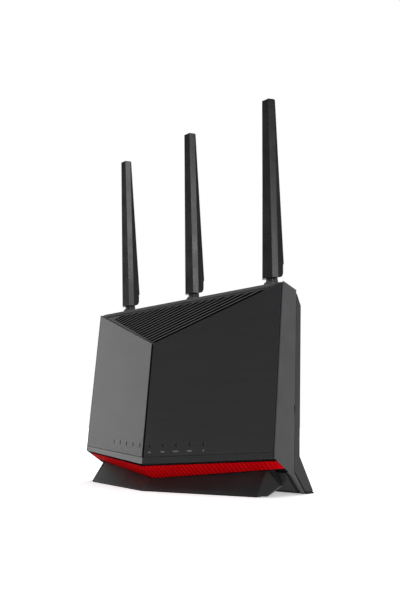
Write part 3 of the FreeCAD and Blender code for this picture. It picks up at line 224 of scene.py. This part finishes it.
def louvre(name, top, side):
    """Grille bars in painted light and shade: surfaces turned like the grille plane get the lighter top colour, and
    the walls of the slots get a painted dark shade.
    """
    M = Mat(name)
    fine = M.noise(3000.0, 2.0, 0.5)
    slow = M.noise(38.0, 3.0, 0.6)
    # painted light and shade: how closely the normal matches the grille plane chooses between the lighter top colour
    # and the dark side colour
    geo = M.node("NewGeometry")
    dot = M.node("VectorMath", operation="DOT_PRODUCT")
    M.link(geo.outputs["Normal"], dot.inputs[0])
    dot.inputs[1].default_value = (0.0, -0.783, 0.622)
    painted_light_mix = M.ramp(dot.outputs["Value"], 0.0, 1.0, 0.6, 0.95)
    lit = M.mix(M.ramp(slow, 0, 1), tuple(c * 0.9 for c in top), tuple(c * 1.1 for c in top))
    lit = M.mix(M.ramp(fine, 0.0, 0.25), lit, tuple(c * 1.3 for c in top))
    mask, rounded = M.edge(0.0003)
    # painted highlight on the bar edges
    lit = M.mix(M.math("MULTIPLY", mask, 0.6), lit, tuple(c * 1.8 for c in top))
    M.link(M.mix(painted_light_mix, side, lit), M.p.inputs["Base Color"])
    M.link(M.ramp(fine, 0.42, 0.5), M.p.inputs["Roughness"])
    M.link(M.bump(fine, 0.15, 0.00006, rounded), M.p.inputs["Normal"])
    M.p.inputs["Specular IOR Level"].default_value = 0.2
    return M.m


def metal(name, col, rough=0.3, stretch=(300.0, 300.0, 3000.0), tint=0.12):
    M = Mat(name)
    line = M.noise(1.0, 3.0, 0.6, M.mapping(stretch))
    slow = M.noise(60.0, 3.0, 0.5)
    base = M.mix(M.ramp(slow, 0, 1), tuple(c * (1 - tint) for c in col), col)
    mask, rounded = M.edge(0.00025)
    # painted highlight: the rounded edges of the metal are painted lighter
    base = M.mix(M.math("MULTIPLY", mask, 0.6), base, tuple(min(1, c * 1.25 + 0.05) for c in col))
    M.link(base, M.p.inputs["Base Color"])
    M.link(M.ramp(line, rough - 0.08, rough + 0.1), M.p.inputs["Roughness"])
    M.link(M.bump(line, 0.15, 0.00003, rounded), M.p.inputs["Normal"])
    M.p.inputs["Metallic"].default_value = 1.0
    return M.m


def board(name):
    """Solder mask with the faint relief of copper tracks under it."""
    M = Mat(name)
    br = M.node("TexBrick", offset=0.5)
    br.inputs["Scale"].default_value = 160.0
    br.inputs["Mortar Size"].default_value = 0.03
    mp = M.mapping((1, 1, 1), (math.radians(90), 0, 0))
    M.link(mp, br.inputs["Vector"])
    slow = M.noise(120.0, 3.0)
    base = M.mix(M.ramp(br.outputs["Fac"], 0, 1, 0, 1), (0.006, 0.06, 0.022), (0.02, 0.12, 0.045))
    base = M.mix(M.ramp(slow, 0, 0.35), base, (0.004, 0.04, 0.02))
    M.link(base, M.p.inputs["Base Color"])
    M.link(M.ramp(slow, 0.28, 0.42), M.p.inputs["Roughness"])
    M.link(M.bump(br.outputs["Fac"], 0.3, 0.00004), M.p.inputs["Normal"])
    return M.m


# the lighter edge colours given below are painted highlights on the rounded edges
MATS = {
    "panel": brushed("panel_skin", (0.0135, 0.0135, 0.0145), 0.40, 0.45),
    "shell": plastic("shell_plastic", (0.052, 0.052, 0.054), 0.58, 2400.0, 0.3, spec=0.3, edge_highlight_col=(0.095, 0.095, 0.099)),
    "rear": plastic("rear_plastic", (0.030, 0.030, 0.032), 0.6, 2400.0, 0.35, spec=0.25),
    "trim": brushed("trim_skin", (0.012, 0.012, 0.013), 0.36, 0.5),
    # grille: one plastic painted as a lighter top colour plus a near-black painted shade for the slot walls
    "grille": louvre("grille_plastic", (0.075, 0.075, 0.079), (0.0025, 0.0025, 0.0027)),
    # ridge strip: its own black pushed far darker than real plastic, partly painted shade for the recessed gap along
    # the ridge
    "ridge": plastic("ridge_plastic", (0.0022, 0.0022, 0.0024), 0.75, 3000.0, 0.2, spec=0.03, edge_highlight_col=(0.004, 0.004, 0.0042)),
    "red": plastic("band_red", (0.47, 0.0008, 0.0030), 0.6, 1800.0, 0.15, spec=0.01, edge_highlight_col=(0.58, 0.002, 0.005), blotch=0.08),
    "stand": plastic("stand_plastic", (0.016, 0.016, 0.0168), 0.42, 2400.0, 0.25, spec=0.4, edge_highlight_col=(0.022, 0.022, 0.023)),
    "rubber": plastic("pad_rubber", (0.010, 0.010, 0.0105), 0.8, 1500.0, 0.5, 0.0001, 0.3),
    "blade": plastic("blade_plastic", (0.0052, 0.0054, 0.0058), 0.3, 2200.0, 0.1, spec=0.5, edge_r=0.0003, edge_highlight_col=(0.03, 0.031, 0.033)),
    "spine": plastic("spine_plastic", (0.0042, 0.0044, 0.0048), 0.42, 2200.0, 0.12, spec=0.22),
    "collar": plastic("collar_plastic", (0.05, 0.05, 0.053), 0.38, 2600.0, 0.25),
    "black": plastic("black_plastic", (0.010, 0.010, 0.0105), 0.4, 2600.0, 0.25),
    "guide": plastic("guide_plastic", (0.0035, 0.0035, 0.004), 0.22, 1200.0, 0.1, blotch=0.05),
    "chip": plastic("chip_resin", (0.012, 0.012, 0.013), 0.5, 3200.0, 0.3),
    "lamp": plastic("lamp_resin", (0.75, 0.75, 0.70), 0.3, 1500.0, 0.1, blotch=0.05),
    "label": plastic("label_stock", (0.42, 0.42, 0.405), 0.6, 1400.0, 0.3, blotch=0.04),
    "pad": plastic("thermal_pad", (0.20, 0.23, 0.30), 0.85, 900.0, 0.4),
    "cable": plastic("lead_jacket", (0.012, 0.012, 0.013), 0.45, 1800.0, 0.2),
    "board": board("solder_mask"),
    "alu": metal("extruded_aluminium", (0.62, 0.63, 0.65), 0.36),
    "steel": metal("drawn_steel", (0.50, 0.50, 0.51), 0.3),
    "socket": metal("plated_shell", (0.60, 0.60, 0.61), 0.28),
    "brass": metal("plated_brass", (0.72, 0.52, 0.20), 0.3),
}

USE = {
    "front_panel_left": "panel", "front_panel_right": "panel", "lower_trim_strip": "trim", "ridge_strip": "ridge",
    "front_shell": "shell", "rear_shell": "rear", "top_grille": "grille", "accent_band": "red", "base_stand": "stand",
    "front_foot_pad": "rubber", "rear_foot_pads": "rubber", "label_plate": "label", "main_board": "board", "processor_chip": "chip",
    "memory_chips": "chip", "radio_chips": "chip", "thermal_pads": "pad", "heat_sink": "alu", "shield_cans": "steel",
    "lan_socket_block": "socket", "wan_socket": "socket", "fast_lan_socket": "socket", "usb_sockets": "socket", "dc_inlet": "black",
    "power_switch": "black", "power_button": "black", "reset_switch": "black", "reset_button": "collar", "side_switch_board": "board",
    "wps_button": "black", "light_button": "black", "light_guide_right": "guide", "light_guide_left": "guide", "indicator_lamps": "lamp",
    "inner_antenna": "board", "antenna_connectors": "brass", "connector_nuts": "brass", "coax_leads": "cable", "case_screws": "steel",
    "board_screws": "steel", "antenna_collars": "collar",
}
for side in ("left", "centre", "right"):
    USE.update({"antenna_%s_blade" % side: "blade", "antenna_%s_spine" % side: "spine", "antenna_%s_element" % side: "board",
                "antenna_%s_pin" % side: "steel", "antenna_%s_swivel" % side: "black"})


def node_object(n):
    v = frame["nodes"][n]
    return v if isinstance(v, bpy.types.Object) else bpy.data.objects[n]


for n in frame["nodes"]:
    ob = node_object(n)
    mat = MATS[USE[n]]
    if not ob.material_slots:
        ob.data.materials.append(mat)
    for s in ob.material_slots:
        s.material = mat


# ------------------------------------------------------------------ printed marks under the indicator slots
def panel_y(x, z):
    return (-41.8 + (0.2406 * abs(x) + 0.1144 * (z - 23.0)) / 0.9639) / 1000.0


def pill(bm, x, z, w, h, seg=5):
    """A flat rounded mark, 0.05 mm thick, lying on the sloping panel; x, z, w, h in mm."""
    r = min(w, h) / 2 * 0.9
    pts = []
    for cx, cz, a0 in ((w / 2 - r, h / 2 - r, 0), (-w / 2 + r, h / 2 - r, 90), (-w / 2 + r, -h / 2 + r, 180), (w / 2 - r, -h / 2 + r, 270)):
        for k in range(seg + 1):
            a = math.radians(a0 + 90.0 * k / seg)
            pts.append((x + cx + r * math.cos(a), z + cz + r * math.sin(a)))
    front = [bm.verts.new((px / 1000, panel_y(px, pz) - 0.00005, pz / 1000)) for px, pz in pts]
    back = [bm.verts.new((px / 1000, panel_y(px, pz) + 0.00004, pz / 1000)) for px, pz in pts]
    bm.faces.new(front[::-1])
    bm.faces.new(back)
    n = len(pts)
    for k in range(n):
        bm.faces.new((front[k], front[(k + 1) % n], back[(k + 1) % n], back[k]))


bm = bmesh.new()
for k in range(5):
    lx = 6.3 + 12.65 * k
    lz = 38.5 + 0.052 * lx
    wide = (2.6, 3.6, 5.2, 4.4, 1.6)[k]
    pill(bm, lx + 0.2, lz - 5.6, wide, 1.1 if k < 4 else 1.6)
    pill(bm, -lx, lz - 5.4, 1.9, 2.0)
bmesh.ops.recalc_face_normals(bm, faces=bm.faces)
me = bpy.data.meshes.new("indicator_marks")
bm.to_mesh(me)
bm.free()
marks = bpy.data.objects.new("indicator_marks", me)
SCN.collection.objects.link(marks)
me.materials.append(plastic("mark_ink", (0.13, 0.13, 0.134), 0.6, 1500.0, 0.1, spec=0.3, edge_r=0.0001))
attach(marks, "housing")

# ------------------------------------------------------------------ stage
def plane(name, size, z, mat):
    me = bpy.data.meshes.new(name)
    h = size / 2
    me.from_pydata([(-h, -h, z), (h, -h, z), (h, h, z), (-h, h, z)], [], [(0, 1, 2, 3)])
    ob = bpy.data.objects.new(name, me)
    SCN.collection.objects.link(ob)
    me.materials.append(mat)
    return ob


fm = Mat("floor_paint_and_glow")
fm.link(fm.mix(fm.ramp(fm.noise(3.0, 2.0), 0, 1), (0.90, 0.90, 0.90), (0.92, 0.92, 0.92)), fm.p.inputs["Base Color"])
fm.p.inputs["Roughness"].default_value = 0.7
fm.p.inputs["Specular IOR Level"].default_value = 0.1
fm.p.inputs["Emission Color"].default_value = (1.0, 1.0, 1.0, 1.0)
# painted light: the floor glows, weakly within half a metre of the object and rising to full strength 2.2 m out
glow_distance = fm.node("VectorMath", operation="LENGTH")
fm.link(fm.co.outputs["Object"], glow_distance.inputs[0])
fm.link(fm.ramp(glow_distance.outputs["Value"], 0.42, 1.3, 0.5, 2.2), fm.p.inputs["Emission Strength"])
plane("floor", 40.0, 0.0, fm.m)

# a white studio to look at, a dim one to light with, so the softboxes shape the dark plastic
world = bpy.data.worlds.new("studio")
SCN.world = world
world.use_nodes = True
wt = world.node_tree
bg = wt.nodes["Background"]
bg.inputs[0].default_value = (1.0, 1.0, 1.0, 1.0)
bg.inputs[1].default_value = 1.0
dim = wt.nodes.new("ShaderNodeBackground")
dim.inputs[0].default_value = (0.96, 0.98, 1.0, 1.0)
dim.inputs[1].default_value = 0.22
path = wt.nodes.new("ShaderNodeLightPath")
blend = wt.nodes.new("ShaderNodeMixShader")
wt.links.new(path.outputs["Is Camera Ray"], blend.inputs[0])
wt.links.new(dim.outputs[0], blend.inputs[1])
wt.links.new(bg.outputs[0], blend.inputs[2])
wt.links.new(blend.outputs[0], wt.nodes["World Output"].inputs[0])
SCN.view_settings.view_transform = "Standard"


def area(name, loc, target, w, h, power, col=(1, 1, 1)):
    L = bpy.data.lights.new(name, "AREA")
    L.shape = "RECTANGLE"
    L.size, L.size_y = w, h
    L.energy = power
    L.color = col
    ob = bpy.data.objects.new(name, L)
    SCN.collection.objects.link(ob)
    d = Vector(target) - Vector(loc)
    ob.matrix_world = Matrix.Translation(Vector(loc)) @ d.to_track_quat("-Z", "Y").to_matrix().to_4x4()
    return ob


area("left_softbox", (-2.5, -0.62, 0.62), (0, 0, 0.12), 0.9, 1.3, 10.5)
area("camera_softbox", (1.75, -1.15, 0.9), (0, 0, 0.2), 0.6, 1.3, 13)
area("rear_softbox", (1.9, 0.9, 0.6), (0.1, 0, 0.1), 0.8, 1.0, 6)
area("crown_softbox", (-1.55, -0.38, 1.75), (0, 0, 0.15), 0.5, 0.5, 1.2)
area("top_softbox", (0.0, 0.5, 2.4), (0, 0, 0.1), 2.2, 2.0, 46)

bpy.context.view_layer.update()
